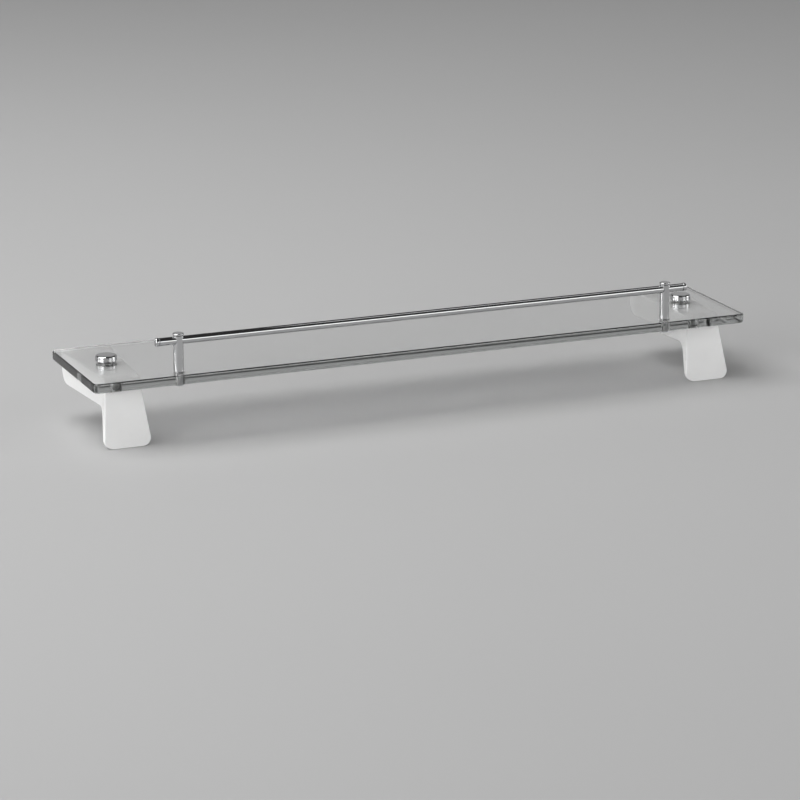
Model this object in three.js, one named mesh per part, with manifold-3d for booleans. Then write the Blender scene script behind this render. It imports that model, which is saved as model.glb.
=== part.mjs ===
import * as THREE from 'three';
import { mergeVertices } from 'three/addons/utils/BufferGeometryUtils.js';
import Module from 'manifold-3d';

// A wall shelf: a glass plate on two cast brackets, with a gallery rail along its front edge.
// Millimetres. X runs along the shelf and Z points up. The wall is the plane y = 0 and the shelf
// stands out from it towards -Y. The underside of the glass is the plane z = 0.

const GAP = 0.3; // clearance between pieces that touch
const OVERSHOOT = 1; // how far a cutting tool runs past the face that it opens

const GLASS = { length: 600, depth: 120, thickness: 8, cornerRadius: 5, wallGap: 1 };
const GLASS_EDGE = { bulge: 1, height: 2 }; // how far and how high the polished edge is rounded
const GLASS_FRONT = -GLASS.wallGap - GLASS.depth;

const BRACKET = {
  x: 268.8, // distance of each bracket from the middle of the shelf
  top: -2 * GAP, // the arm stays just below the pad that carries the glass
  rootDepth: 22,
  rootRadius: 10,
  rootHalfWidth: 21.6,
  neckHalfWidth: 15.2,
  undersideRise: 1, // how much thinner the arm is at the neck than at the root
  neckReach: 98.5, // where the top of the arm would meet the front of the leaf
  bendRadius: 10,
  bendShare: 0.33, // share of the leaf's front that lies opposite the inner curve
  innerReach: 92.5, // where the underside would meet the back of the leaf
  innerRadius: 16,
  leafBottom: -51.3,
  leafHalfWidth: 21.2,
  leafFrontReach: 112, // at the tip
  leafBackReach: 108.8, // at the tip
  leafCornerRadius: 8,
  edgeRadius: 1.6,
  edgeShare: 0.35, // largest share of the thickness that an edge rounding takes
};

const CLAMP = { y: -56, studRadius: 3, glassHoleRadius: 5 };
const CAP = { radius: 9.2, height: 5, round: 1.6, boreDepth: 3.5 };
const WASHER = { thickness: 0.8, clampRadius: 8.4, postRadius: 5 };
const PAD = { radius: 8.6, boreRadius: 4, thickness: 2 };
const INSERT = { radius: 4, length: 10 };
const PLATE = { width: 32, height: 9, thickness: 3, holeRadius: 2.2, holeSpacing: 22, top: -1.8 };
const TONGUE = { width: 10, length: 9 };
const GRUB = { radius: 2, length: 7, y: -8, socketRadius: 1.1, socketDepth: 2.5 };

const POST = { x: 224.2, y: -112, radius: 4.3, top: 40 };
const POST_SCREW = { radius: 2.5, depth: 12, glassHoleRadius: 4, headRadius: 4, headThickness: 1.3 };
const POST_SOCKET = { radius: 1.4, depth: 0.8 };
const POST_CAP = { radius: 4.75, height: 1.8, round: 0.7, shankRadius: 1.8 };
const LOWER_WASHER_THICKNESS = 0.5;

const RAIL = { length: 482, radius: 3.4, boreRadius: 2.5, z: 35.9 };
const RAIL_END = { radius: 3.7, length: 3.2, round: 1.4, plugLength: 6 };

const FINE = 32; // facets round a chromed piece
const COARSE = 24; // facets round a hidden piece
const ROUND_STEPS = 6; // facets across a rounded rim
const EDGE_STEPS = 3; // facets across a bracket's rounded edge
const HEX = 6; // sides of a key socket

const glass = new THREE.MeshStandardMaterial({ color: 0xdfe9e7, roughness: 0.05, metalness: 0 });
const lacquer = new THREE.MeshStandardMaterial({ color: 0xeeeeec, roughness: 0.3, metalness: 0 });
const chrome = new THREE.MeshStandardMaterial({ color: 0xd8dadd, roughness: 0.08, metalness: 1 });
const clearPlastic = new THREE.MeshStandardMaterial({ color: 0xe6e8e6, roughness: 0.35, metalness: 0 });
const steel = new THREE.MeshStandardMaterial({ color: 0x9c9ea0, roughness: 0.4, metalness: 1 });
const brass = new THREE.MeshStandardMaterial({ color: 0xb8964a, roughness: 0.35, metalness: 1 });

const wasm = await Module();
wasm.setup();

function toSolid(geometry) {
  const bare = geometry.clone();
  bare.deleteAttribute('normal');
  bare.deleteAttribute('uv');
  const merged = mergeVertices(bare, 1e-4);
  const vertProperties = new Float32Array(merged.attributes.position.array);
  const triVerts = new Uint32Array(merged.index.array);
  return new wasm.Manifold(new wasm.Mesh({ numProp: 3, vertProperties, triVerts }));
}

function fromSolid(solid) {
  const mesh = solid.getMesh();
  const geometry = new THREE.BufferGeometry();
  geometry.setAttribute('position', new THREE.BufferAttribute(mesh.vertProperties, 3));
  geometry.setIndex(new THREE.BufferAttribute(mesh.triVerts, 1));
  return geometry;
}

function cut(geometry, tools) {
  const start = toSolid(geometry);
  return fromSolid(tools.reduce((solid, tool) => solid.subtract(toSolid(tool)), start));
}

function join(geometry, others) {
  const start = toSolid(geometry);
  return fromSolid(others.reduce((solid, other) => solid.add(toSolid(other)), start));
}

// A solid turned about the Z axis from [radius, z] points, listed upwards along the outside.
function turned(profile, facets) {
  const points = profile.map(([radius, z]) => new THREE.Vector2(radius, z));
  return new THREE.LatheGeometry(points, facets).rotateX(Math.PI / 2);
}

function rod(radius, bottom, top, facets) {
  return turned([[0, bottom], [radius, bottom], [radius, top], [0, top]], facets);
}

function ring(innerRadius, outerRadius, bottom, top, facets) {
  const profile = [[innerRadius, bottom], [outerRadius, bottom], [outerRadius, top], [innerRadius, top]];
  return turned([...profile, profile[0]], facets);
}

function box(width, depth, height, x, y, z) {
  return new THREE.BoxGeometry(width, depth, height).translate(x, y, z);
}

// Points of a quarter circle that starts level with its centre on the right and ends above it.
function quarterRound(centreX, centreY, radius, steps) {
  return Array.from({ length: steps + 1 }, (_, i) => {
    const angle = (i / steps) * (Math.PI / 2);
    return [centreX + radius * Math.cos(angle), centreY + radius * Math.sin(angle)];
  });
}

// A disc with a rounded upper rim.
function roundedDisc(radius, bottom, top, round, facets) {
  const rim = quarterRound(radius - round, top - round, round, ROUND_STEPS);
  return turned([[0, bottom], [radius, bottom], ...rim, [0, top]], facets);
}

function glassGeometry() {
  const halfLength = GLASS.length / 2;
  const halfDepth = GLASS.depth / 2;
  const r = GLASS.cornerRadius;
  const outline = new THREE.Shape();
  outline.absarc(halfLength - r, halfDepth - r, r, 0, Math.PI / 2);
  outline.absarc(r - halfLength, halfDepth - r, r, Math.PI / 2, Math.PI);
  outline.absarc(r - halfLength, r - halfDepth, r, Math.PI, 1.5 * Math.PI);
  outline.absarc(halfLength - r, r - halfDepth, r, 1.5 * Math.PI, 2 * Math.PI);
  const plate = new THREE.ExtrudeGeometry(outline, {
    depth: GLASS.thickness - 2 * GLASS_EDGE.height,
    bevelThickness: GLASS_EDGE.height,
    bevelSize: GLASS_EDGE.bulge,
    bevelOffset: -GLASS_EDGE.bulge,
    bevelSegments: 3,
    curveSegments: 4,
  });
  plate.translate(0, GLASS_FRONT + halfDepth, GLASS_EDGE.height);
  const drillTop = GLASS.thickness + OVERSHOOT;
  const hole = (radius, x, y) => rod(radius, -OVERSHOOT, drillTop, COARSE).translate(x, y, 0);
  return cut(plate, [-1, 1].flatMap((side) => [
    hole(CLAMP.glassHoleRadius, side * BRACKET.x, CLAMP.y),
    hole(POST_SCREW.glassHoleRadius, side * POST.x, POST.y),
  ]));
}

// The arc that rounds the corner between two straight lines, in the bracket's side view.
function fillet(before, corner, after, radius) {
  const back = before.clone().sub(corner).normalize();
  const ahead = after.clone().sub(corner).normalize();
  const halfAngle = Math.acos(back.dot(ahead)) / 2;
  const tangent = radius / Math.tan(halfAngle);
  const start = corner.clone().addScaledVector(back, tangent);
  const end = corner.clone().addScaledVector(ahead, tangent);
  const bisector = back.clone().add(ahead).normalize();
  const centre = corner.clone().addScaledVector(bisector, radius / Math.sin(halfAngle));
  const from = start.clone().sub(centre).angle();
  const to = end.clone().sub(centre).angle();
  const clockwise = back.cross(ahead) > 0;
  const arc = new THREE.EllipseCurve(centre.x, centre.y, radius, radius, from, to, clockwise);
  return { start, end, arc };
}

// The point on the way from one point back to another that stops a given distance short.
function shortOf(end, start, distance) {
  return start.clone().sub(end).setLength(distance).add(end);
}

// The bracket in side view, as pairs of curves from the wall to the tip of the leaf: the outer one
// follows the top of the arm and the front of the leaf, the inner one the underside and the back.
// Each point's x is the part's Y and its y is the part's Z.
function bracketSpans() {
  const b = BRACKET;
  const wallTop = new THREE.Vector2(0, b.top);
  const outerCorner = new THREE.Vector2(-b.neckReach, b.top);
  const tipFront = new THREE.Vector2(-b.leafFrontReach, b.leafBottom);
  const wallBottom = new THREE.Vector2(0, -b.rootDepth);
  const innerCorner = new THREE.Vector2(-b.innerReach, b.undersideRise - b.rootDepth);
  const tipBack = new THREE.Vector2(-b.leafBackReach, b.leafBottom);

  const bend = fillet(wallTop, outerCorner, tipFront, b.bendRadius);
  const root = fillet(wallTop, wallBottom, innerCorner, b.rootRadius);
  const inner = fillet(wallBottom, innerCorner, tipBack, b.innerRadius);
  const rootTop = new THREE.Vector2(-b.rootRadius, b.top);
  const bendEnd = bend.end.clone().lerp(tipFront, b.bendShare);
  const bendOuter = new THREE.CurvePath();
  bendOuter.add(bend.arc);
  bendOuter.add(new THREE.LineCurve(bend.end, bendEnd));
  const bladeFront = shortOf(tipFront, bendEnd, b.leafCornerRadius);
  const bladeBack = shortOf(tipBack, inner.end, b.leafCornerRadius);
  const line = (from, to) => new THREE.LineCurve(from, to);
  return [
    { outer: line(wallTop, rootTop), inner: root.arc, steps: 8 },
    { outer: line(rootTop, bend.start), inner: line(root.end, inner.start), steps: 6 },
    { outer: bendOuter, inner: inner.arc, steps: 12 },
    { outer: line(bendEnd, bladeFront), inner: line(inner.end, bladeBack), steps: 3 },
    { outer: line(bladeFront, tipFront), inner: line(bladeBack, tipBack), steps: 7, isTip: true },
  ];
}

// Half the bracket's width where its outer face passes a point: it narrows from the wall to the
// neck, and the leaf widens again on its way down.
function bracketHalfWidth(point) {
  const b = BRACKET;
  const alongArm = Math.min(-point.x / b.neckReach, 1);
  const downLeaf = (b.top - point.y) / (b.top - b.leafBottom);
  const arm = THREE.MathUtils.lerp(b.rootHalfWidth, b.neckHalfWidth, alongArm);
  return THREE.MathUtils.lerp(arm, b.leafHalfWidth, downLeaf);
}

function roundedRectangle(halfWidth, halfHeight, radius, steps) {
  const corners = [[1, 1], [-1, 1], [-1, -1], [1, -1]];
  return corners.flatMap(([signX, signY], quarter) => Array.from({ length: steps + 1 }, (_, i) => {
    const angle = (quarter + i / steps) * (Math.PI / 2);
    const x = signX * (halfWidth - radius) + radius * Math.cos(angle);
    const y = signY * (halfHeight - radius) + radius * Math.sin(angle);
    return [x, y];
  }));
}

function bracketSection(outer, inner, halfWidth) {
  const middle = outer.clone().add(inner).multiplyScalar(0.5);
  const thickness = outer.distanceTo(inner);
  const across = outer.clone().sub(inner).normalize();
  const radius = Math.min(BRACKET.edgeRadius, BRACKET.edgeShare * thickness);
  return roundedRectangle(halfWidth, thickness / 2, radius, EDGE_STEPS).map(([x, y]) => (
    new THREE.Vector3(x, middle.x + y * across.x, middle.y + y * across.y)
  ));
}

// Joins a row of outlines with equal counts of points into one closed solid with flat ends.
function loft(outlines) {
  const count = outlines[0].length;
  const lastRow = (outlines.length - 1) * count;
  const index = [];
  for (let row = 0; row < lastRow; row += count) {
    for (let i = 0; i < count; i += 1) {
      const a = row + i;
      const b = row + ((i + 1) % count);
      index.push(a, b, b + count, a, b + count, a + count);
    }
  }
  for (let i = 1; i + 1 < count; i += 1) {
    index.push(0, i + 1, i);
    index.push(lastRow, lastRow + i, lastRow + i + 1);
  }
  const geometry = new THREE.BufferGeometry().setFromPoints(outlines.flat());
  geometry.setIndex(index);
  return geometry;
}

function bracketBody() {
  const outlines = [];
  bracketSpans().forEach((span, spanNumber) => {
    for (let i = spanNumber === 0 ? 0 : 1; i <= span.steps; i += 1) {
      const angle = (i / span.steps) * (Math.PI / 2);
      const along = span.isTip ? Math.sin(angle) : i / span.steps;
      const outer = span.outer.getPointAt(along);
      const inner = span.inner.getPointAt(along);
      const roundedOff = span.isTip ? BRACKET.leafCornerRadius * (1 - Math.cos(angle)) : 0;
      outlines.push(bracketSection(outer, inner, bracketHalfWidth(outer) - roundedOff));
    }
  });
  return loft(outlines);
}

// The bracket is cut for the glass pad, the clamp's threaded insert, the wall plate with its tongue
// and the grub screw that locks it.
function bracketGeometry() {
  const recessFloor = -2 * GAP - PAD.thickness;
  const insertFloor = recessFloor - INSERT.length - 2 * GAP;
  const plateMiddleZ = PLATE.top - PLATE.height / 2;
  const slotDepth = PLATE.thickness + GAP;
  const tongueDepth = PLATE.thickness + TONGUE.length + GAP;
  const slotHeight = PLATE.height + 2 * GAP;
  return cut(bracketBody(), [
    rod(PAD.radius + GAP, recessFloor, OVERSHOOT, COARSE).translate(0, CLAMP.y, 0),
    rod(INSERT.radius + GAP, insertFloor, 0, COARSE).translate(0, CLAMP.y, 0),
    box(PLATE.width + 2 * GAP, 2 * slotDepth, slotHeight, 0, 0, plateMiddleZ),
    box(TONGUE.width + 2 * GAP, 2 * tongueDepth, slotHeight, 0, 0, plateMiddleZ),
    rod(GRUB.radius + GAP, -BRACKET.rootDepth - OVERSHOOT, plateMiddleZ, COARSE).translate(0, GRUB.y, 0),
  ]);
}

function wallPlateGeometry() {
  const middleZ = PLATE.top - PLATE.height / 2;
  const plate = box(PLATE.width, PLATE.thickness, PLATE.height, 0, -PLATE.thickness / 2, middleZ);
  const tongueLength = TONGUE.length + PLATE.thickness / 2;
  const tongueMiddleY = -PLATE.thickness / 2 - tongueLength / 2;
  const tongue = box(TONGUE.width, tongueLength, PLATE.height, 0, tongueMiddleY, middleZ);
  const holes = [-1, 1].map((side) => (
    rod(PLATE.holeRadius, -OVERSHOOT, PLATE.thickness + OVERSHOOT, COARSE)
      .rotateX(Math.PI / 2)
      .translate((side * PLATE.holeSpacing) / 2, 0, middleZ)
  ));
  return cut(join(plate, [tongue]), holes);
}

// A headless screw driven from below, with a six-sided socket in its lower end.
function grubScrewGeometry() {
  const top = PLATE.top - PLATE.height - GAP;
  const bottom = top - GRUB.length;
  const body = rod(GRUB.radius, bottom, top, COARSE);
  return cut(body, [rod(GRUB.socketRadius, bottom - OVERSHOOT, bottom + GRUB.socketDepth, HEX)]);
}

function clampCapGeometry(bottom) {
  const cap = roundedDisc(CAP.radius, bottom, bottom + CAP.height, CAP.round, FINE);
  return cut(cap, [rod(CLAMP.studRadius + GAP, bottom - OVERSHOOT, bottom + CAP.boreDepth, COARSE)]);
}

function postGeometry(bottom) {
  const post = rod(POST.radius, bottom, POST.top, FINE);
  const reach = POST.radius + OVERSHOOT;
  const railBore = rod(RAIL.radius + GAP, -reach, reach, FINE).rotateY(Math.PI / 2);
  return cut(post, [
    railBore.translate(0, 0, RAIL.z),
    rod(POST_CAP.shankRadius + GAP, RAIL.z, POST.top + OVERSHOOT, COARSE),
    rod(POST_SCREW.radius + GAP, bottom - OVERSHOOT, bottom + POST_SCREW.depth, COARSE),
  ]);
}

// The cap closes the post and its shank presses on the rail.
function postCapGeometry() {
  const bottom = POST.top + GAP;
  const disc = roundedDisc(POST_CAP.radius, bottom, bottom + POST_CAP.height, POST_CAP.round, FINE);
  const shankBottom = RAIL.z + RAIL.radius + GAP;
  return join(disc, [rod(POST_CAP.shankRadius, shankBottom, bottom + POST_CAP.height / 2, COARSE)]);
}

function postScrewGeometry(headTop, shankTop) {
  const headBottom = headTop - POST_SCREW.headThickness;
  const head = rod(POST_SCREW.headRadius, headBottom, headTop, COARSE);
  const shank = rod(POST_SCREW.radius, headTop - POST_SCREW.headThickness / 2, shankTop, COARSE);
  const socketTop = headBottom + POST_SOCKET.depth;
  const socket = rod(POST_SOCKET.radius, headBottom - OVERSHOOT, socketTop, HEX);
  return cut(join(head, [shank]), [socket]);
}

function railGeometry() {
  const half = RAIL.length / 2;
  return ring(RAIL.boreRadius, RAIL.radius, -half, half, FINE).rotateY(Math.PI / 2);
}

// The end cap for the +X end of the rail: a rounded button with a plug that fills the tube.
function railEndGeometry() {
  const face = RAIL.length / 2 + GAP;
  const tip = face + RAIL_END.length;
  const button = roundedDisc(RAIL_END.radius, face, tip, RAIL_END.round, FINE);
  const plug = rod(RAIL.boreRadius - GAP, face - RAIL_END.plugLength, face + OVERSHOOT, COARSE);
  return join(button, [plug]).rotateY(Math.PI / 2);
}

const shelf = new THREE.Group();

function add(name, geometry, material, x = 0, y = 0, z = 0) {
  const mesh = new THREE.Mesh(geometry, material);
  mesh.name = name;
  mesh.position.set(x, y, z);
  shelf.add(mesh);
  return mesh;
}

function addBracket(side, x) {
  const padTop = -GAP;
  const insertTop = padTop - PAD.thickness - 2 * GAP;
  const washerBottom = GLASS.thickness + GAP;
  const capBottom = washerBottom + WASHER.thickness + GAP;
  const studTop = capBottom + CAP.boreDepth - GAP;
  const studBottom = insertTop - INSERT.length + GAP;
  const bushRadius = CLAMP.glassHoleRadius - GAP;
  const bore = CLAMP.studRadius + GAP;

  add(`bracket_${side}`, bracketGeometry(), lacquer, x);
  add(`wall_plate_${side}`, wallPlateGeometry(), steel, x);
  add(`grub_screw_${side}`, grubScrewGeometry(), steel, x, GRUB.y);
  add(`glass_pad_${side}`, ring(PAD.boreRadius, PAD.radius, padTop - PAD.thickness, padTop, COARSE),
    clearPlastic, x, CLAMP.y);
  add(`threaded_insert_${side}`, ring(bore, INSERT.radius, insertTop - INSERT.length, insertTop, COARSE),
    brass, x, CLAMP.y);
  add(`clamp_stud_${side}`, rod(CLAMP.studRadius, studBottom, studTop, COARSE), steel, x, CLAMP.y);
  add(`glass_bush_${side}`, ring(bore, bushRadius, 0, GLASS.thickness, COARSE), clearPlastic, x, CLAMP.y);
  add(`clamp_washer_${side}`,
    ring(bore, WASHER.clampRadius, washerBottom, washerBottom + WASHER.thickness, FINE),
    clearPlastic, x, CLAMP.y);
  add(`clamp_cap_${side}`, clampCapGeometry(capBottom), chrome, x, CLAMP.y);
}

function addPost(side, x) {
  const upperBottom = GLASS.thickness + GAP;
  const postBottom = upperBottom + WASHER.thickness + GAP;
  const lowerTop = -GAP;
  const lowerBottom = lowerTop - LOWER_WASHER_THICKNESS;
  const bore = POST_SCREW.radius + GAP;
  const sleeveRadius = POST_SCREW.glassHoleRadius - GAP;
  const screwTop = postBottom + POST_SCREW.depth - GAP;

  add(`post_${side}`, postGeometry(postBottom), chrome, x, POST.y);
  add(`post_cap_${side}`, postCapGeometry(), chrome, x, POST.y);
  add(`post_washer_upper_${side}`,
    ring(bore, WASHER.postRadius, upperBottom, upperBottom + WASHER.thickness, FINE),
    clearPlastic, x, POST.y);
  add(`post_sleeve_${side}`, ring(bore, sleeveRadius, 0, GLASS.thickness, COARSE), clearPlastic, x, POST.y);
  add(`post_washer_lower_${side}`,
    ring(bore, WASHER.postRadius, lowerBottom, lowerTop, COARSE), clearPlastic, x, POST.y);
  add(`post_screw_${side}`, postScrewGeometry(lowerBottom - GAP, screwTop), steel, x, POST.y);
}

add('glass_shelf', glassGeometry(), glass);
addBracket('left', -BRACKET.x);
addBracket('right', BRACKET.x);
addPost('left', -POST.x);
addPost('right', POST.x);
add('rail', railGeometry(), chrome, 0, POST.y, RAIL.z);
add('rail_end_right', railEndGeometry(), chrome, 0, POST.y, RAIL.z);
add('rail_end_left', railEndGeometry(), chrome, 0, POST.y, RAIL.z).rotation.z = Math.PI;

export default shelf;
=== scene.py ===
"""A wall shelf: a glass plate on two lacquered brackets, with a chromed rail along its front.

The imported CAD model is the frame. Each of its pieces is built again here with finer edges and a
finish of its own, in the same place. Shapes are written in millimetres and become metres last.
The camera, the lights and the floor are in metres, and so are the sizes in the materials.
"""
import math

import bmesh
import bpy
from mathutils import Matrix, Vector


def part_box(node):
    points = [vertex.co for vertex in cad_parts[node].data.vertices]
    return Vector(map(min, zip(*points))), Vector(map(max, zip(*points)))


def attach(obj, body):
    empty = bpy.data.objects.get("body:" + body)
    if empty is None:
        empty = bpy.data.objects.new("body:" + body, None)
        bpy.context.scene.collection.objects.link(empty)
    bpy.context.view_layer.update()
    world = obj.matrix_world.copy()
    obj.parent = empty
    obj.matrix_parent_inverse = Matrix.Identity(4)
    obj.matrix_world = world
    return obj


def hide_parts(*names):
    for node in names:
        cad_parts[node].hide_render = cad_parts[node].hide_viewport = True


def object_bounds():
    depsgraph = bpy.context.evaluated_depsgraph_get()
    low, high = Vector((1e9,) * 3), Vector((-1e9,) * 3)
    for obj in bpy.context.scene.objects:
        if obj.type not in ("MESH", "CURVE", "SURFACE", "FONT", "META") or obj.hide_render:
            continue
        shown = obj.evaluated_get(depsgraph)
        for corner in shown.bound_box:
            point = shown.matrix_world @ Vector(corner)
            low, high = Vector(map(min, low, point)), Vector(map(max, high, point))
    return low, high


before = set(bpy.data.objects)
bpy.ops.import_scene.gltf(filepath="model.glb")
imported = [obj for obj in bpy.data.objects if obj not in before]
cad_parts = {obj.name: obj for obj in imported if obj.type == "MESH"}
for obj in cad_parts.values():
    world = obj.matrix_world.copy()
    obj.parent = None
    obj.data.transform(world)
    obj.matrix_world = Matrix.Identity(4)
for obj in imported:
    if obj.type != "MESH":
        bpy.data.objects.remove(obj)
cad_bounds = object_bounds()

MM = 0.001
SIDES = ("left", "right")
GAP = 0.3  # clearance between pieces that touch
OVERSHOOT = 1  # how far a cutting tool runs past the face that it opens
TURN_STEPS = 96  # facets round a turned piece
BORE_STEPS = 64  # facets round a hole
THREAD_STEPS = 48  # facets round a screw thread
THREAD_ROWS = 8  # rings in one turn of a thread
HEX = 6  # sides of a key socket
CORNER_SHARE = 0.45  # the most of a side that one rounded corner takes up
SHORTEST_EDGE = 0.002  # edges shorter than this are taken out after a cut or a join
SHARP_ANGLE = math.radians(32)  # edges sharper than this are shaded as edges
LEVEL = 0.999  # the least upward part of a unit normal on a level face

GLASS_CORNER = 5
GLASS_CORNER_STEPS = 12
GLASS_BULGE = 1  # how far the polished edge curves inwards
GLASS_BULGE_HEIGHT = 2  # how high that curve is
GLASS_BULGE_STEPS = 8
CLAMP_HOLE_RADIUS = 5
POST_HOLE_RADIUS = 4
HOLE_ARRIS = 0.4  # the small chamfer at both ends of a drilled hole
HOLE_REACH = 7  # upright faces nearer than this to a hole's axis are its ground wall
GROUND_ROUGHNESS = 0.35

STUD_RADIUS = 3
STUD_THREAD = {"depth": 0.35, "pitch": 1}
PAD_BORE_RADIUS = 4
PAD_EDGE = 0.3
RING_EDGE = 0.2  # how far the edges of the other washers and sleeves are rounded
CAP_ROUND = 1.8
CAP_FOOT = 0.2  # the chamfer round the underside of a clamp cap
CAP_DOME = 0.35
CAP_DOME_SHARES = (0.6, 0.45, 0.3, 0.15)  # rings in the domed top, as shares of its radius
CAP_BORE_DEPTH = 3.5
GRUB_RADIUS = 2
GRUB_THREAD = {"depth": 0.25, "pitch": 0.7}
GRUB_SOCKET = {"radius": 1.1, "depth": 2.5}
TONGUE_WIDTH = 10
TONGUE_COVER = 1  # how far short of the wall the tongue ends, inside the plate
PLATE_THICKNESS = 3
PLATE_EDGE = 0.4
PLATE_HOLE_RADIUS = 2.2
PLATE_HOLE_SPACING = 22

POST_RADIUS = 4.3
POST_EDGE = 0.25
POST_BORE_DEPTH = 12
POST_SCREW_RADIUS = 2.5
POST_SCREW_HEAD = 1.3
POST_SCREW_EDGE = 0.4
POST_THREAD = {"depth": 0.3, "pitch": 0.8}
POST_THREAD_START = 0.1  # the short neck between the head and the thread
POST_SOCKET = {"radius": 1.4, "depth": 0.8}
POST_CAP_HEIGHT = 1.8
POST_CAP_SHANK = 1.8
POST_CAP_ROUND = 0.8
LOWER_WASHER_EDGE = 0.15
RAIL_BORE_RADIUS = 2.5
RAIL_END_ROUND = 1.5
RAIL_PLUG_LENGTH = 6
RAIL_PLUG_EDGE = 0.3

# The bracket in side view. Reaches are measured out from the wall, and depths and heights from
# the underside of the glass.
BRACKET = {
    "top": -0.6,
    "root_depth": 22,
    "root_radius": 10,
    "root_half_width": 21.6,
    "neck_half_width": 15.2,
    "underside_rise": 1,
    "neck_reach": 98.5,
    "bend_radius": 10,
    "bend_share": 0.33,
    "inner_reach": 92.5,
    "inner_radius": 16,
    "leaf_bottom": -51.3,
    "leaf_half_width": 21.2,
    "leaf_front_reach": 112,
    "leaf_back_reach": 108.8,
    "leaf_corner_radius": 8,
    "edge_radius": 1.3,
    "edge_share": 0.35,
}
BRACKET_EDGE_STEPS = 6
BRACKET_STEPS = {"root": 16, "arm": 12, "bend": 32, "leaf": 6, "tip": 14}

# The camera stands to the left of the shelf and looks down on it, as in a catalogue picture.
CAMERA_PLACE = (-1.0891, -2.6478, 0.7498)
CAMERA_YAW = math.radians(22.740)
CAMERA_PITCH = math.radians(15.974)
CAMERA_LENS = 151.25  # its focal length, in millimetres

FLOOR_SIZE = 40
FLOOR_CLEARANCE = 0.0002  # keeps the floor from touching the lowest faces of the shelf
WALL_TOP = (0.34, 0.50)  # sines of the elevations where the pale walls start and finish fading
WALL_BRIGHTNESS = 0.42
CEILING_BRIGHTNESS = 0.04


# ---------------------------------------------------------------- measures from the CAD model

def node_box(node):
    """The lowest and highest corner of a CAD node, in millimetres."""
    low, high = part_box(node)
    return low / MM, high / MM


def axis_of(node):
    """The middle of a CAD node in plan, as a point level with z = 0."""
    low, high = node_box(node)
    return Vector(((low.x + high.x) / 2, (low.y + high.y) / 2, 0))


def radius_of(node):
    """The radius of an upright turned CAD node, from its box."""
    low, high = node_box(node)
    return max(high.x - low.x, high.y - low.y) / 2


# ---------------------------------------------------------------- mesh code

def soften(profile, radius, closed=False, steps=4):
    """The profile with its corners rounded by a radius, or by less where its sides are short."""
    points = [Vector(point) for point in profile]
    last = len(points) - 1
    rounded = []
    for i, corner in enumerate(points):
        if not closed and i in (0, last):
            rounded.append(corner)
            continue
        before = points[i - 1] - corner
        after = points[(i + 1) % len(points)] - corner
        reach = min(radius, CORNER_SHARE * before.length, CORNER_SHARE * after.length)
        start = corner + reach * before.normalized()
        end = corner + reach * after.normalized()
        for k in range(steps + 1):
            share = k / steps
            rounded.append(start.lerp(corner, share).lerp(corner.lerp(end, share), share))
    return rounded


def circle(radius, z, steps):
    """A level ring of points."""
    angles = [2 * math.pi * i / steps for i in range(steps)]
    return [Vector((radius * math.cos(a), radius * math.sin(a), z)) for a in angles]


def turned(profile, steps=TURN_STEPS, closed=False):
    """A solid turned about the Z axis from (radius, z) points. A closed profile makes a ring."""
    bm = bmesh.new()
    rings = []
    for radius, z in profile:
        points = circle(radius, z, steps) if radius > 0 else [Vector((0, 0, z))]
        rings.append([bm.verts.new(point) for point in points])
    neighbours = list(zip(rings, rings[1:]))
    if closed:
        neighbours.append((rings[-1], rings[0]))
    for low, high in neighbours:
        for i in range(steps):
            j = (i + 1) % steps
            corners = (low[i % len(low)], low[j % len(low)], high[j % len(high)], high[i % len(high)])
            bm.faces.new(list(dict.fromkeys(corners)))
    return bm


def rod(radius, bottom, top, steps=BORE_STEPS):
    """A plain upright cylinder or, with few steps, a prism."""
    return turned([(0, bottom), (radius, bottom), (radius, top), (0, top)], steps)


def soft_ring(bore, radius, bottom, top, edge=RING_EDGE):
    """A washer or sleeve with softened edges."""
    profile = [(bore, bottom), (radius, bottom), (radius, top), (bore, top)]
    return turned(soften(profile, edge, closed=True, steps=3), closed=True)


def loft(rings):
    """A closed solid through rings of points with equal counts."""
    bm = bmesh.new()
    rows = [[bm.verts.new(point) for point in ring] for ring in rings]
    for low, high in zip(rows, rows[1:]):
        for i in range(len(low)):
            j = (i + 1) % len(low)
            bm.faces.new((low[i], low[j], high[j], high[i]))
    bm.faces.new(list(reversed(rows[0])))
    bm.faces.new(rows[-1])
    return bm


def thread_rings(radius, bottom, top, depth, pitch):
    """Rings whose radius follows a screw thread, which fades out at both ends."""
    rows = round((top - bottom) / pitch * THREAD_ROWS)
    rings = []
    for row in range(rows + 1):
        z = bottom + (top - bottom) * row / rows
        fade = min(1, (z - bottom) / pitch, (top - z) / pitch)
        ring = []
        for i in range(THREAD_STEPS):
            phase = (z / pitch - i / THREAD_STEPS) % 1
            groove = 1 - abs(2 * phase - 1)
            angle = 2 * math.pi * i / THREAD_STEPS
            reach = radius - depth * (groove * fade + (1 - fade))
            ring.append(Vector((reach * math.cos(angle), reach * math.sin(angle), z)))
        rings.append(ring)
    return rings


def soft_box(low, high, edge):
    """A block between two corners, with rounded edges."""
    low, high = Vector(low), Vector(high)
    bm = bmesh.new()
    bmesh.ops.create_cube(bm, size=1)
    size = Matrix.Diagonal((*(high - low), 1))
    bm.transform(Matrix.Translation((low + high) / 2) @ size)
    if edge:
        bmesh.ops.bevel(bm, geom=bm.edges[:], offset=edge, segments=4, profile=0.5, affect="EDGES")
    return bm


def moved(bm, place=(0, 0, 0), turn=None):
    """Turns a bmesh about the origin, by an angle and an axis, and then moves it."""
    if turn:
        bm.transform(Matrix.Rotation(turn[0], 4, turn[1]))
    bm.transform(Matrix.Translation(Vector(place)))
    return bm


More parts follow.
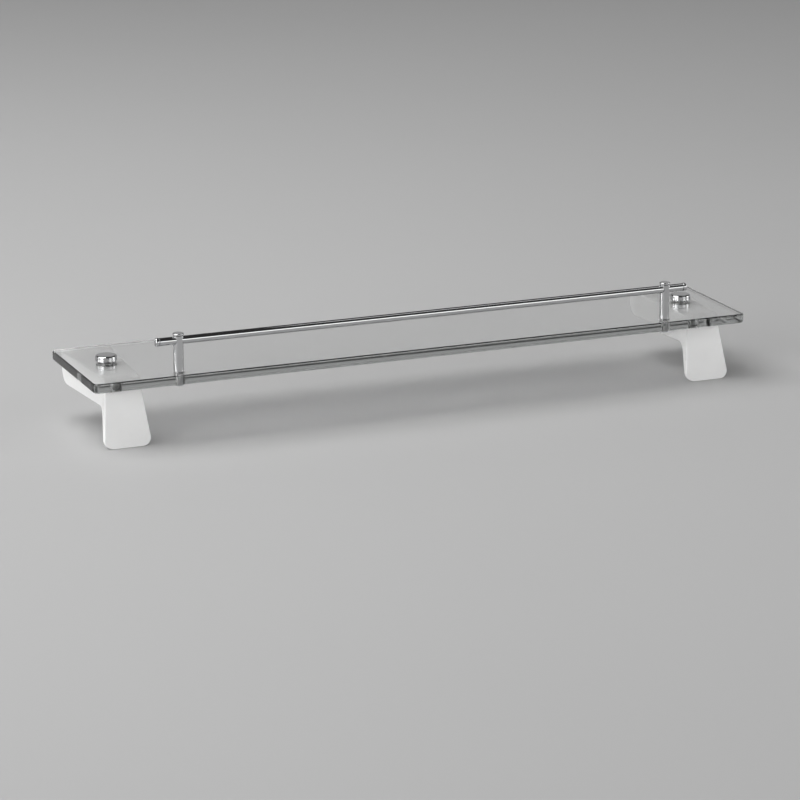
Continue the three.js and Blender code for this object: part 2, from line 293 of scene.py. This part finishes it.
def solid(name, bm):
    """Makes an object of a bmesh, still in millimetres."""
    bmesh.ops.recalc_face_normals(bm, faces=bm.faces)
    mesh = bpy.data.meshes.new(name)
    bm.to_mesh(mesh)
    bm.free()
    made = bpy.data.objects.new(name, mesh)
    bpy.context.scene.collection.objects.link(made)
    return made


def merge_close_points(mesh):
    """Takes out the very short edges that a boolean leaves where two outlines nearly meet."""
    bm = bmesh.new()
    bm.from_mesh(mesh)
    bmesh.ops.remove_doubles(bm, verts=bm.verts, dist=SHORTEST_EDGE)
    bmesh.ops.dissolve_degenerate(bm, edges=bm.edges, dist=SHORTEST_EDGE)
    bm.to_mesh(mesh)
    bm.free()


def combine(body, operation, tools):
    """Joins tools to the body, or takes them out of it, and removes them."""
    tool_objects = [solid(f"{body.name}_tool", tool) for tool in tools]
    for tool in tool_objects:
        modifier = body.modifiers.new(operation.lower(), "BOOLEAN")
        modifier.object = tool
        modifier.operation = operation
        modifier.solver = "EXACT"
    depsgraph = bpy.context.evaluated_depsgraph_get()
    mesh = bpy.data.meshes.new_from_object(body.evaluated_get(depsgraph))
    body.modifiers.clear()
    merge_close_points(mesh)
    body.data = mesh
    for tool in tool_objects:
        bpy.data.objects.remove(tool)
    return body


def cut(body, tools):
    """Takes the tools out of the body."""
    return combine(body, "DIFFERENCE", tools)


def join(body, others):
    """Adds the others to the body, as one solid."""
    return combine(body, "UNION", others)


# ---------------------------------------------------------------- materials

class Finish:
    """A Principled material, with short calls for the patterns that drive it."""

    def __init__(self, name, values):
        self.material = bpy.data.materials.new(name)
        self.material.use_nodes = True
        self.tree = self.material.node_tree
        self.shader = self.tree.nodes["Principled BSDF"]
        for socket, value in values.items():
            self.shader.inputs[socket].default_value = value

    def node(self, kind, **settings):
        """Adds a shader node and sets it."""
        made = self.tree.nodes.new(kind)
        for setting, value in settings.items():
            setattr(made, setting, value)
        return made

    def feed(self, socket, source):
        """Gives an input a link or a plain value."""
        if isinstance(source, bpy.types.NodeSocket):
            self.tree.links.new(source, socket)
        else:
            socket.default_value = source

    def place(self, scale):
        """Points of the object, in metres, stretched by a scale for each axis."""
        coordinates = self.node("ShaderNodeTexCoord")
        mapping = self.node("ShaderNodeMapping")
        self.feed(mapping.inputs["Vector"], coordinates.outputs["Object"])
        mapping.inputs["Scale"].default_value = scale
        return mapping.outputs["Vector"]

    def noise(self, scale, detail, stretch=(1, 1, 1), distortion=0):
        """A cloudy pattern from 0 to 1."""
        texture = self.node("ShaderNodeTexNoise")
        self.feed(texture.inputs["Vector"], self.place(stretch))
        self.feed(texture.inputs["Scale"], scale)
        self.feed(texture.inputs["Detail"], detail)
        self.feed(texture.inputs["Distortion"], distortion)
        return texture.outputs["Fac"]

    def cells(self, scale):
        """Random grains: one value for each cell."""
        texture = self.node("ShaderNodeTexVoronoi")
        self.feed(texture.inputs["Vector"], self.place((1, 1, 1)))
        self.feed(texture.inputs["Scale"], scale)
        split = self.node("ShaderNodeSeparateColor")
        self.feed(split.inputs["Color"], texture.outputs["Color"])
        return split.outputs["Red"]

    def spread(self, value, low, high, start=0.3, end=0.7):
        """Maps the middle of a pattern's range to low and high."""
        mapped = self.node("ShaderNodeMapRange")
        self.feed(mapped.inputs["Value"], value)
        self.feed(mapped.inputs["From Min"], start)
        self.feed(mapped.inputs["From Max"], end)
        self.feed(mapped.inputs["To Min"], low)
        self.feed(mapped.inputs["To Max"], high)
        return mapped.outputs["Result"]

    def maths(self, operation, first, second):
        """Works out one value from two, each of them a link or a number."""
        result = self.node("ShaderNodeMath", operation=operation)
        self.feed(result.inputs[0], first)
        self.feed(result.inputs[1], second)
        return result.outputs["Value"]

    def sum(self, first, second):
        return self.maths("ADD", first, second)

    def times(self, first, second):
        return self.maths("MULTIPLY", first, second)

    def attribute(self, name):
        """The value that the mesh holds for each face under a name."""
        return self.node("ShaderNodeAttribute", attribute_name=name).outputs["Fac"]

    def colour(self, value, first, second):
        """Blends the base colour from one to the other by a pattern."""
        mix = self.node("ShaderNodeMix", data_type="RGBA")
        first_socket, second_socket = [socket for socket in mix.inputs if socket.type == "RGBA"]
        blend = next(socket for socket in mix.outputs if socket.type == "RGBA")
        self.feed(mix.inputs["Factor"], value)
        self.feed(first_socket, (*first, 1))
        self.feed(second_socket, (*second, 1))
        self.feed(self.shader.inputs["Base Color"], blend)

    def roughness(self, value):
        self.feed(self.shader.inputs["Roughness"], value)

    def bump(self, height, distance, strength):
        """Adds relief, on top of any that is there already."""
        relief = self.node("ShaderNodeBump")
        self.feed(relief.inputs["Height"], height)
        self.feed(relief.inputs["Distance"], distance)
        self.feed(relief.inputs["Strength"], strength)
        normal = self.shader.inputs["Normal"]
        if normal.is_linked:
            self.feed(relief.inputs["Normal"], normal.links[0].from_socket)
        self.feed(normal, relief.outputs["Normal"])

    def absorb(self, colour, density):
        """Tints a clear body by its depth."""
        volume = self.node("ShaderNodeVolumeAbsorption")
        self.feed(volume.inputs["Color"], (*colour, 1))
        self.feed(volume.inputs["Density"], density)
        output = self.tree.nodes["Material Output"]
        self.feed(output.inputs["Volume"], volume.outputs["Volume"])


def white_lacquer():
    """Sprayed lacquer: near white, with the faint ripple of a sprayed coat."""
    finish = Finish("white_lacquer", {"Coat Weight": 0.45, "Coat Roughness": 0.07, "IOR": 1.5})
    finish.colour(finish.noise(scale=55, detail=4), (0.80, 0.80, 0.795), (0.86, 0.86, 0.855))
    finish.roughness(finish.spread(finish.noise(scale=260, detail=5), low=0.3, high=0.42))
    finish.bump(finish.noise(scale=75, detail=2), distance=0.00004, strength=0.35)
    finish.bump(finish.noise(scale=620, detail=2), distance=0.00002, strength=0.3)
    return finish.material


def bright_chrome():
    """Polished chrome plating, with fine wipe marks that dull it in places."""
    finish = Finish("bright_chrome", {"Metallic": 1.0})
    finish.colour(finish.noise(scale=140, detail=4), (0.53, 0.535, 0.54), (0.58, 0.585, 0.59))
    wiped = finish.noise(scale=90, detail=5, stretch=(0.35, 1, 2.2), distortion=0.8)
    finish.roughness(finish.spread(wiped, low=0.035, high=0.11))
    finish.bump(finish.noise(scale=160, detail=2), distance=0.000004, strength=0.2)
    return finish.material


def clear_glass():
    """Float glass: clear faces, polished edges with fine streaks, and ground holes."""
    finish = Finish("clear_glass", {
        "Base Color": (1, 1, 1, 1), "Transmission Weight": 1.0, "IOR": 1.52,
    })
    wiped = finish.noise(scale=28, detail=6, stretch=(1, 1.6, 1), distortion=1.2)
    smears = finish.spread(wiped, low=0.0, high=0.02, start=0.52, end=0.75)
    streaks = finish.noise(scale=1, detail=4, stretch=(9, 9, 1300))
    edge = finish.times(finish.attribute("edge"), finish.spread(streaks, low=0.01, high=0.09))
    ground = finish.times(finish.attribute("ground"), GROUND_ROUGHNESS)
    finish.roughness(finish.sum(finish.sum(smears, edge), ground))
    relief = finish.times(finish.attribute("edge"), streaks)
    finish.bump(relief, distance=0.00001, strength=0.15)
    finish.absorb((0.895, 0.90, 0.898), density=42)
    return finish.material


def clear_plastic():
    """Moulded clear plastic, a little cloudy."""
    finish = Finish("clear_plastic", {"Transmission Weight": 0.9, "IOR": 1.49})
    finish.colour(finish.noise(scale=300, detail=3), (0.88, 0.885, 0.88), (0.95, 0.95, 0.945))
    finish.roughness(finish.spread(finish.noise(scale=500, detail=4), low=0.16, high=0.34))
    finish.bump(finish.noise(scale=900, detail=3), distance=0.00003, strength=0.4)
    return finish.material


def zinc_steel():
    """Zinc plated steel with a grainy plating and a dulled surface."""
    finish = Finish("zinc_steel", {"Metallic": 1.0})
    finish.colour(finish.cells(scale=700), (0.50, 0.51, 0.53), (0.68, 0.69, 0.70))
    finish.roughness(finish.spread(finish.noise(scale=330, detail=5), low=0.28, high=0.48))
    finish.bump(finish.noise(scale=1500, detail=4), distance=0.00002, strength=0.6)
    return finish.material


def insert_brass():
    """Drawn brass with turning marks round it."""
    finish = Finish("insert_brass", {"Metallic": 1.0})
    finish.colour(finish.noise(scale=400, detail=4), (0.58, 0.42, 0.17), (0.72, 0.55, 0.25))
    finish.roughness(finish.spread(finish.noise(scale=300, detail=4), low=0.25, high=0.42))
    turning_marks = finish.noise(scale=1, detail=3, stretch=(30, 30, 6000))
    finish.bump(turning_marks, distance=0.00003, strength=0.6)
    return finish.material


def floor_paint():
    """A pale, even studio floor with a slight satin sheen."""
    finish = Finish("floor_paint", {"IOR": 1.4, "Specular IOR Level": 0.3})
    finish.colour(finish.noise(scale=1.4, detail=3), (0.45, 0.45, 0.45), (0.47, 0.47, 0.47))
    finish.roughness(finish.spread(finish.noise(scale=2, detail=3), low=0.52, high=0.56))
    return finish.material


MATERIALS = {
    "clear_glass": clear_glass(),
    "white_lacquer": white_lacquer(),
    "bright_chrome": bright_chrome(),
    "clear_plastic": clear_plastic(),
    "zinc_steel": zinc_steel(),
    "insert_brass": insert_brass(),
}


# ---------------------------------------------------------------- finishing a piece

def shade(mesh):
    """Shades a mesh smooth, apart from its sharp edges."""
    mesh.polygons.foreach_set("use_smooth", [True] * len(mesh.polygons))
    mesh.set_sharp_from_angle(angle=SHARP_ANGLE)


def show(piece, node, slot):
    """Puts a finished piece in the frame, in place of its CAD node."""
    piece.data.transform(Matrix.Diagonal((MM, MM, MM, 1)))
    piece.data.update()
    piece.data.materials.clear()
    piece.data.materials.append(MATERIALS[slot])
    shade(piece.data)
    weighted = piece.modifiers.new("even_normals", "WEIGHTED_NORMAL")
    weighted.keep_sharp = True
    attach(piece, "root")
    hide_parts(node)


def show_solid(node, slot, bm):
    """Makes a piece of a bmesh and shows it."""
    show(solid(f"{node}_visual", bm), node, slot)


# ---------------------------------------------------------------- the glass

def rounded_outline(low, high, inset, z):
    """The plate's outline at one height, drawn in by an inset."""
    corners = [(low.x, low.y), (high.x, low.y), (high.x, high.y), (low.x, high.y)]
    centre = (low + high) / 2
    reach = GLASS_CORNER - inset
    points = []
    for quarter, (corner_x, corner_y) in enumerate(corners):
        middle_x = corner_x + math.copysign(GLASS_CORNER, centre.x - corner_x)
        middle_y = corner_y + math.copysign(GLASS_CORNER, centre.y - corner_y)
        for k in range(GLASS_CORNER_STEPS + 1):
            angle = math.pi + (quarter + k / GLASS_CORNER_STEPS) * math.pi / 2
            x = middle_x + reach * math.cos(angle)
            y = middle_y + reach * math.sin(angle)
            points.append(Vector((x, y, z)))
    return points


def glass_body():
    """The plate, with an edge that is rounded at its top and bottom."""
    low, high = node_box("glass_shelf")
    rings = []
    for k in range(GLASS_BULGE_STEPS + 1):
        angle = k / GLASS_BULGE_STEPS * math.pi / 2
        inset = GLASS_BULGE * (1 - math.sin(angle))
        rings.append((inset, low.z + GLASS_BULGE_HEIGHT * (1 - math.cos(angle))))
    upper = [(inset, low.z + high.z - z) for inset, z in reversed(rings)]
    return loft([rounded_outline(low, high, inset, z) for inset, z in rings + upper])


def drilled_hole(radius, bottom, top):
    """The tool for a hole with a small chamfer at each face."""
    flare = HOLE_ARRIS + OVERSHOOT
    return turned([
        (0, bottom - OVERSHOOT),
        (radius + flare, bottom - OVERSHOOT),
        (radius, bottom + HOLE_ARRIS),
        (radius, top - HOLE_ARRIS),
        (radius + flare, top + OVERSHOOT),
        (0, top + OVERSHOOT),
    ], BORE_STEPS)


def is_level(polygon):
    """Whether a face belongs to the plate's top or underside."""
    return abs(polygon.normal.z) > LEVEL


def mark_glass(mesh, holes):
    """Says which faces are polished edge and which are ground hole, for the glass material."""
    edge = mesh.attributes.new("edge", "FLOAT", "FACE")
    ground = mesh.attributes.new("ground", "FLOAT", "FACE")
    for polygon in mesh.polygons:
        if is_level(polygon):
            continue
        in_hole = any((polygon.center.xy - hole.xy).length < HOLE_REACH for hole in holes)
        marked = ground if in_hole else edge
        marked.data[polygon.index].value = 1


def make_glass():
    """The plate, drilled for both clamps and both posts."""
    low, high = node_box("glass_shelf")
    plate = solid("glass_shelf_visual", glass_body())
    clamps = [axis_of(f"clamp_stud_{side}") for side in SIDES]
    posts = [axis_of(f"post_{side}") for side in SIDES]
    drills = [moved(drilled_hole(CLAMP_HOLE_RADIUS, low.z, high.z), place) for place in clamps]
    drills += [moved(drilled_hole(POST_HOLE_RADIUS, low.z, high.z), place) for place in posts]
    cut(plate, drills)
    mark_glass(plate.data, clamps + posts)
    show(plate, "glass_shelf", "clear_glass")
    for polygon in plate.data.polygons:
        polygon.use_smooth = not is_level(polygon)


# ---------------------------------------------------------------- the brackets

def fillet(before, corner, after, radius):
    """The arc that rounds a corner: its start, its end, and a function from 0..1 to its points."""
    back = (before - corner).normalized()
    ahead = (after - corner).normalized()
    half_angle = math.acos(back.dot(ahead)) / 2
    tangent = radius / math.tan(half_angle)
    start = corner + back * tangent
    end = corner + ahead * tangent
    centre = corner + (back + ahead).normalized() * (radius / math.sin(half_angle))
    sweep = (start - centre).angle_signed(end - centre)

    def arc(share):
        return centre + Matrix.Rotation(-sweep * share, 2) @ (start - centre)

    return start, end, arc


def line(start, end):
    """A function from 0..1 to the points of a straight line."""
    return lambda share: start.lerp(end, share)


def chain(first, first_length, second, second_length):
    """Follows two curves one after the other, by their length."""
    joint = first_length / (first_length + second_length)

    def follow(share):
        if share < joint:
            return first(share / joint)
        return second((share - joint) / (1 - joint))

    return follow


def short_of(end, start, distance):
    """The point on the way back from an end that stops a distance short of it."""
    return end + (start - end).normalized() * distance


def bracket_spans():
    """Pairs of curves from the wall to the tip of the leaf, each with its count of steps.

    The outer curve follows the top of the arm and the front of the leaf, and the inner one the
    underside and the back. A point's x is the shelf's Y and its y is the shelf's Z.
    """
    b = BRACKET
    wall_top = Vector((0, b["top"]))
    outer_corner = Vector((-b["neck_reach"], b["top"]))
    tip_front = Vector((-b["leaf_front_reach"], b["leaf_bottom"]))
    wall_bottom = Vector((0, -b["root_depth"]))
    inner_corner = Vector((-b["inner_reach"], b["underside_rise"] - b["root_depth"]))
    tip_back = Vector((-b["leaf_back_reach"], b["leaf_bottom"]))

    bend_start, bend_end, bend = fillet(wall_top, outer_corner, tip_front, b["bend_radius"])
    _, root_end, root = fillet(wall_top, wall_bottom, inner_corner, b["root_radius"])
    inner_start, inner_end, inner = fillet(wall_bottom, inner_corner, tip_back, b["inner_radius"])
    root_top = Vector((-b["root_radius"], b["top"]))
    leaf_start = bend_end.lerp(tip_front, b["bend_share"])
    turn = (bend_start - outer_corner).angle(outer_corner - tip_front)
    bend_outer = chain(
        bend, b["bend_radius"] * turn, line(bend_end, leaf_start), (leaf_start - bend_end).length
    )
    blade_front = short_of(tip_front, leaf_start, b["leaf_corner_radius"])
    blade_back = short_of(tip_back, inner_end, b["leaf_corner_radius"])
    steps = BRACKET_STEPS
    return [
        (line(wall_top, root_top), root, steps["root"]),
        (line(root_top, bend_start), line(root_end, inner_start), steps["arm"]),
        (bend_outer, inner, steps["bend"]),
        (line(leaf_start, blade_front), line(inner_end, blade_back), steps["leaf"]),
        (line(blade_front, tip_front), line(blade_back, tip_back), steps["tip"]),
    ]


def bracket_half_width(point):
    """The bracket narrows from the wall to its neck, and the leaf widens again on its way down."""
    b = BRACKET
    along_arm = min(-point.x / b["neck_reach"], 1)
    down_leaf = (b["top"] - point.y) / (b["top"] - b["leaf_bottom"])
    arm = b["root_half_width"] + (b["neck_half_width"] - b["root_half_width"]) * along_arm
    return arm + (b["leaf_half_width"] - arm) * down_leaf


def bracket_section(outer, inner, half_width):
    """A rounded rectangle that stands across the bracket between two points of its outline."""
    middle = (outer + inner) / 2
    across = (outer - inner).normalized()
    half_height = (outer - inner).length / 2
    radius = min(BRACKET["edge_radius"], BRACKET["edge_share"] * 2 * half_height)
    section = []
    for quarter, (sign_x, sign_y) in enumerate([(1, 1), (-1, 1), (-1, -1), (1, -1)]):
        for k in range(BRACKET_EDGE_STEPS + 1):
            angle = (quarter + k / BRACKET_EDGE_STEPS) * math.pi / 2
            x = sign_x * (half_width - radius) + radius * math.cos(angle)
            up = sign_y * (half_height - radius) + radius * math.sin(angle)
            section.append(Vector((x, middle.x + up * across.x, middle.y + up * across.y)))
    return section


def bracket_body():
    """The bracket before it is cut, with the leaf's lower corners rounded off."""
    rings = []
    spans = bracket_spans()
    for number, (outer, inner, steps) in enumerate(spans):
        is_tip = number == len(spans) - 1
        # A span starts on the last ring of the one before it, so only the first has a ring there.
        for k in range(0 if number == 0 else 1, steps + 1):
            angle = k / steps * math.pi / 2
            share = math.sin(angle) if is_tip else k / steps
            rounded_off = BRACKET["leaf_corner_radius"] * (1 - math.cos(angle)) if is_tip else 0
            half_width = bracket_half_width(outer(share)) - rounded_off
            rings.append(bracket_section(outer(share), inner(share), half_width))
    return loft(rings)


def make_bracket(side):
    """The casting, cut for the pad, the threaded insert, the wall plate and the grub screw."""
    centre = axis_of(f"bracket_{side}")
    clamp = axis_of(f"clamp_stud_{side}")
    grub = axis_of(f"grub_screw_{side}")
    pad_low, _ = node_box(f"glass_pad_{side}")
    insert_low, _ = node_box(f"threaded_insert_{side}")
    plate_low, plate_high = node_box(f"wall_plate_{side}")
    pad_radius = radius_of(f"glass_pad_{side}") + GAP
    insert_radius = radius_of(f"threaded_insert_{side}") + GAP
    slot_low = Vector((plate_low.x - GAP, -PLATE_THICKNESS - GAP, plate_low.z - GAP))
    slot_high = Vector((plate_high.x + GAP, OVERSHOOT, plate_high.z + GAP))
    tongue_low = Vector((centre.x - TONGUE_WIDTH / 2 - GAP, plate_low.y - GAP, plate_low.z - GAP))
    tongue_high = Vector((centre.x + TONGUE_WIDTH / 2 + GAP, OVERSHOOT, plate_high.z + GAP))
    body = solid(f"bracket_{side}_visual", moved(bracket_body(), (centre.x, 0, 0)))
    cut(body, [
        moved(rod(pad_radius, pad_low.z - GAP, OVERSHOOT), clamp),
        moved(rod(insert_radius, insert_low.z - GAP, 0), clamp),
        soft_box(slot_low, slot_high, 0),
        soft_box(tongue_low, tongue_high, 0),
        moved(rod(GRUB_RADIUS + GAP, -BRACKET["root_depth"] - OVERSHOOT, plate_low.z), grub),
    ])
    show(body, f"bracket_{side}", "white_lacquer")


def make_wall_plate(side):
    """A flat plate with a tongue that the bracket slides over, and a screw hole on each side."""
    node = f"wall_plate_{side}"
    low, high = node_box(node)
    middle = (low + high) / 2
    tongue_low = (middle.x - TONGUE_WIDTH / 2, low.y, low.z)
    tongue_high = (middle.x + TONGUE_WIDTH / 2, -TONGUE_COVER, high.z)
    plate = soft_box((low.x, -PLATE_THICKNESS, low.z), high, PLATE_EDGE)
    tongue = soft_box(tongue_low, tongue_high, PLATE_EDGE)
    body = join(solid(f"{node}_visual", plate), [tongue])
    holes = [
        moved(
            rod(PLATE_HOLE_RADIUS, -OVERSHOOT, PLATE_THICKNESS + OVERSHOOT),
            (middle.x + sign * PLATE_HOLE_SPACING / 2, 0, middle.z),
            (math.pi / 2, "X"),
        )
        for sign in (-1, 1)
    ]
    show(cut(body, holes), node, "zinc_steel")


def make_grub_screw(side):
    """The headless screw that locks the bracket on the tongue, with its key socket below."""
    node = f"grub_screw_{side}"
    low, high = node_box(node)
    rings = thread_rings(GRUB_RADIUS, low.z, high.z, **GRUB_THREAD)
    screw = solid(f"{node}_visual", loft(rings))
    socket_top = low.z + GRUB_SOCKET["depth"]
    cut(screw, [rod(GRUB_SOCKET["radius"], low.z - OVERSHOOT, socket_top, HEX)])
    screw.data.transform(Matrix.Translation(axis_of(node)))
    show(screw, node, "zinc_steel")


# ---------------------------------------------------------------- the clamp that holds the glass

def make_ring(node, slot, bore, edge=RING_EDGE):
    """A washer, sleeve or pad that fills its CAD node's box round a bore."""
    low, high = node_box(node)
    ring = soft_ring(bore, radius_of(node), low.z, high.z, edge)
    show_solid(node, slot, moved(ring, axis_of(node)))


def make_clamp_stud(side):
    """The threaded rod from the insert up into the cap."""
    node = f"clamp_stud_{side}"
    low, high = node_box(node)
    rings = thread_rings(STUD_RADIUS, low.z, high.z, **STUD_THREAD)
    show_solid(node, "zinc_steel", moved(loft(rings), axis_of(node)))


def make_clamp_cap(side):
    """A low chromed button with a rounded rim and a slightly domed top."""
    node = f"clamp_cap_{side}"
    low, high = node_box(node)
    radius = radius_of(node)
    rim = high.z - CAP_DOME
    bore = STUD_RADIUS + GAP
    bore_top = low.z + CAP_BORE_DEPTH

    def dome(share):
        """How far the top stands over its rim, at a share of the radius."""
        return CAP_DOME * (1 - share ** 2)

    foot = [(radius - CAP_FOOT, low.z), (radius, low.z + CAP_FOOT)]
    outside = soften([*foot, (radius, rim), (0, rim)], CAP_ROUND, steps=12)
    domed = [(r, z + dome(r / radius) if z > rim - CAP_ROUND else z) for r, z in outside]
    crown = [(radius * share, rim + dome(share)) for share in CAP_DOME_SHARES]
    profile = [(0, bore_top), (bore, bore_top), (bore, low.z), *domed[:-1], *crown, (0, high.z)]
    show_solid(node, "bright_chrome", moved(turned(profile), axis_of(node)))


# ---------------------------------------------------------------- the posts and the rail

def make_post(side):
    """A chromed post, bored for its screw, its cap and the rail that passes through it."""
    node = f"post_{side}"
    low, high = node_box(node)
    rail_low, rail_high = node_box("rail")
    rail_z = (rail_low.z + rail_high.z) / 2
    rail_radius = (rail_high.z - rail_low.z) / 2
    screw_bore = POST_SCREW_RADIUS + GAP
    screw_bore_top = low.z + POST_BORE_DEPTH
    cap_bore = POST_CAP_SHANK + GAP
    outline = [(screw_bore, low.z), (POST_RADIUS, low.z), (POST_RADIUS, high.z), (cap_bore, high.z)]
    post = solid(f"{node}_visual", turned([
        (0, screw_bore_top),
        (screw_bore, screw_bore_top),
        *soften(outline, POST_EDGE, steps=3),
        (cap_bore, rail_z),
        (0, rail_z),
    ]))
    reach = POST_RADIUS + OVERSHOOT
    rail_bore = rod(rail_radius + GAP, -reach, reach)
    cut(post, [moved(rail_bore, (0, 0, rail_z), (math.pi / 2, "Y"))])
    post.data.transform(Matrix.Translation(axis_of(node)))
    show(post, node, "bright_chrome")


def make_post_cap(side):
    """A flat button with a softened rim, on the shank that presses on the rail."""
    node = f"post_cap_{side}"
    low, high = node_box(node)
    radius = radius_of(node)
    underside = high.z - POST_CAP_HEIGHT
    outline = [(POST_CAP_SHANK, underside), (radius, underside), (radius, high.z), (0, high.z)]
    button = soften(outline, POST_CAP_ROUND, steps=8)
    profile = [(0, low.z), (POST_CAP_SHANK, low.z), *button]
    show_solid(node, "bright_chrome", moved(turned(profile), axis_of(node)))


def make_post_screw(side):
    """The screw that comes up through the glass, with a key socket in its low head."""
    node = f"post_screw_{side}"
    low, high = node_box(node)
    radius = radius_of(node)
    head_top = low.z + POST_SCREW_HEAD
    outline = [(0, low.z), (radius, low.z), (radius, head_top), (POST_SCREW_RADIUS, head_top)]
    head = soften(outline, POST_SCREW_EDGE)
    rings = [circle(r, z, THREAD_STEPS) for r, z in head[1:]]
    thread_start = head_top + POST_THREAD_START
    rings += thread_rings(POST_SCREW_RADIUS, thread_start, high.z, **POST_THREAD)
    screw = solid(f"{node}_visual", loft(rings))
    cut(screw, [rod(POST_SOCKET["radius"], low.z - OVERSHOOT, low.z + POST_SOCKET["depth"], HEX)])
    screw.data.transform(Matrix.Translation(axis_of(node)))
    show(screw, node, "zinc_steel")


def make_rail():
    """The chromed tube."""
    low, high = node_box("rail")
    middle = (low + high) / 2
    half = (high.x - low.x) / 2
    tube = soft_ring(RAIL_BORE_RADIUS, (high.z - low.z) / 2, -half, half)
    show_solid("rail", "bright_chrome", moved(tube, middle, (math.pi / 2, "Y")))


def make_rail_end(side, sign):
    """The rounded button that closes the tube, with its plug inside."""
    node = f"rail_end_{side}"
    low, high = node_box(node)
    rail_low, rail_high = node_box("rail")
    middle = (rail_low + rail_high) / 2
    radius = (high.z - low.z) / 2
    plug = RAIL_BORE_RADIUS - GAP
    face = (rail_high.x - rail_low.x) / 2 + GAP
    tip = max(abs(low.x), abs(high.x))
    plug_end = face - RAIL_PLUG_LENGTH
    plug_outline = soften([(0, plug_end), (plug, plug_end), (plug, face)], RAIL_PLUG_EDGE)
    button_outline = [(plug, face), (radius, face), (radius, tip), (0, tip)]
    button = soften(button_outline, RAIL_END_ROUND, steps=10)
    shape = turned([*plug_outline[:-1], *button])
    show_solid(node, "bright_chrome", moved(shape, middle, (sign * math.pi / 2, "Y")))


# ---------------------------------------------------------------- the shelf

def make_shelf():
    """Every piece of the shelf, in place of its CAD node."""
    stud_bore = STUD_RADIUS + GAP
    post_bore = POST_SCREW_RADIUS + GAP
    make_glass()
    make_rail()
    for side, sign in zip(SIDES, (-1, 1)):
        make_bracket(side)
        make_wall_plate(side)
        make_grub_screw(side)
        make_ring(f"glass_pad_{side}", "clear_plastic", PAD_BORE_RADIUS, PAD_EDGE)
        make_ring(f"threaded_insert_{side}", "insert_brass", stud_bore)
        make_ring(f"glass_bush_{side}", "clear_plastic", stud_bore)
        make_ring(f"clamp_washer_{side}", "clear_plastic", stud_bore)
        make_clamp_stud(side)
        make_clamp_cap(side)
        make_ring(f"post_washer_upper_{side}", "clear_plastic", post_bore)
        make_ring(f"post_sleeve_{side}", "clear_plastic", post_bore)
        make_ring(f"post_washer_lower_{side}", "clear_plastic", post_bore, LOWER_WASHER_EDGE)
        make_post(side)
        make_post_cap(side)
        make_post_screw(side)
        make_rail_end(side, sign)


# ---------------------------------------------------------------- the studio

def make_floor():
    """A wide level floor under the shelf."""
    low, _ = cad_bounds
    bm = bmesh.new()
    bmesh.ops.create_grid(bm, x_segments=1, y_segments=1, size=FLOOR_SIZE / 2)
    mesh = bpy.data.meshes.new("floor")
    bm.to_mesh(mesh)
    bm.free()
    floor = bpy.data.objects.new("floor", mesh)
    floor.location.z = low.z - FLOOR_CLEARANCE
    floor.data.materials.append(floor_paint())
    bpy.context.scene.collection.objects.link(floor)


def make_softbox(name, place, size, power):
    """A soft rectangular light that faces the middle of the shelf."""
    data = bpy.data.lights.new(name, "AREA")
    data.shape = "RECTANGLE"
    data.size, data.size_y = size
    data.energy = power
    light = bpy.data.objects.new(name, data)
    light.location = place
    light.rotation_euler = (-Vector(place)).to_track_quat("-Z", "Y").to_euler()
    bpy.context.scene.collection.objects.link(light)


def make_world():
    """Pale walls round the studio, up to a dark ceiling."""
    world = bpy.data.worlds.new("studio")
    world.use_nodes = True
    tree = world.node_tree
    direction = tree.nodes.new("ShaderNodeTexCoord")
    split = tree.nodes.new("ShaderNodeSeparateXYZ")
    height = tree.nodes.new("ShaderNodeMapRange")
    height.interpolation_type = "SMOOTHSTEP"
    height.inputs["From Min"].default_value = WALL_TOP[0]
    height.inputs["From Max"].default_value = WALL_TOP[1]
    height.inputs["To Min"].default_value = WALL_BRIGHTNESS
    height.inputs["To Max"].default_value = CEILING_BRIGHTNESS
    tree.links.new(direction.outputs["Generated"], split.inputs["Vector"])
    tree.links.new(split.outputs["Z"], height.inputs["Value"])
    tree.links.new(height.outputs["Result"], tree.nodes["Background"].inputs["Color"])
    bpy.context.scene.world = world


def make_camera():
    """The camera, which is turned and tipped but not rolled."""
    data = bpy.data.cameras.new("camera")
    data.lens = CAMERA_LENS
    camera = bpy.data.objects.new("camera", data)
    camera.location = CAMERA_PLACE
    camera.rotation_euler = (math.pi / 2 - CAMERA_PITCH, 0, -CAMERA_YAW)
    bpy.context.scene.collection.objects.link(camera)
    bpy.context.scene.camera = camera


def make_studio():
    """The surroundings: floor, walls, camera and lights."""
    make_floor()
    make_world()
    make_camera()
    make_softbox("key_left", place=(-8.1, -3.6, 2.7), size=(5.8, 4.9), power=390)
    make_softbox("side_strip", place=(-7.7, 1.6, 2.4), size=(1.4, 2.2), power=62)
    make_softbox("overhead_left", place=(-1.2, 0.4, 2.4), size=(2.2, 2.1), power=74)
    make_softbox("overhead_right", place=(1.4, 0.1, 2.8), size=(0.8, 1.0), power=2.5)
    make_softbox("front_fill", place=(1.3, -3.0, 0.8), size=(1.5, 1.1), power=8.5)
    make_softbox("right_fill", place=(7.4, -3.0, 2.6), size=(3.6, 3.6), power=150)
    bpy.context.scene.view_settings.view_transform = "Standard"


make_shelf()
make_studio()
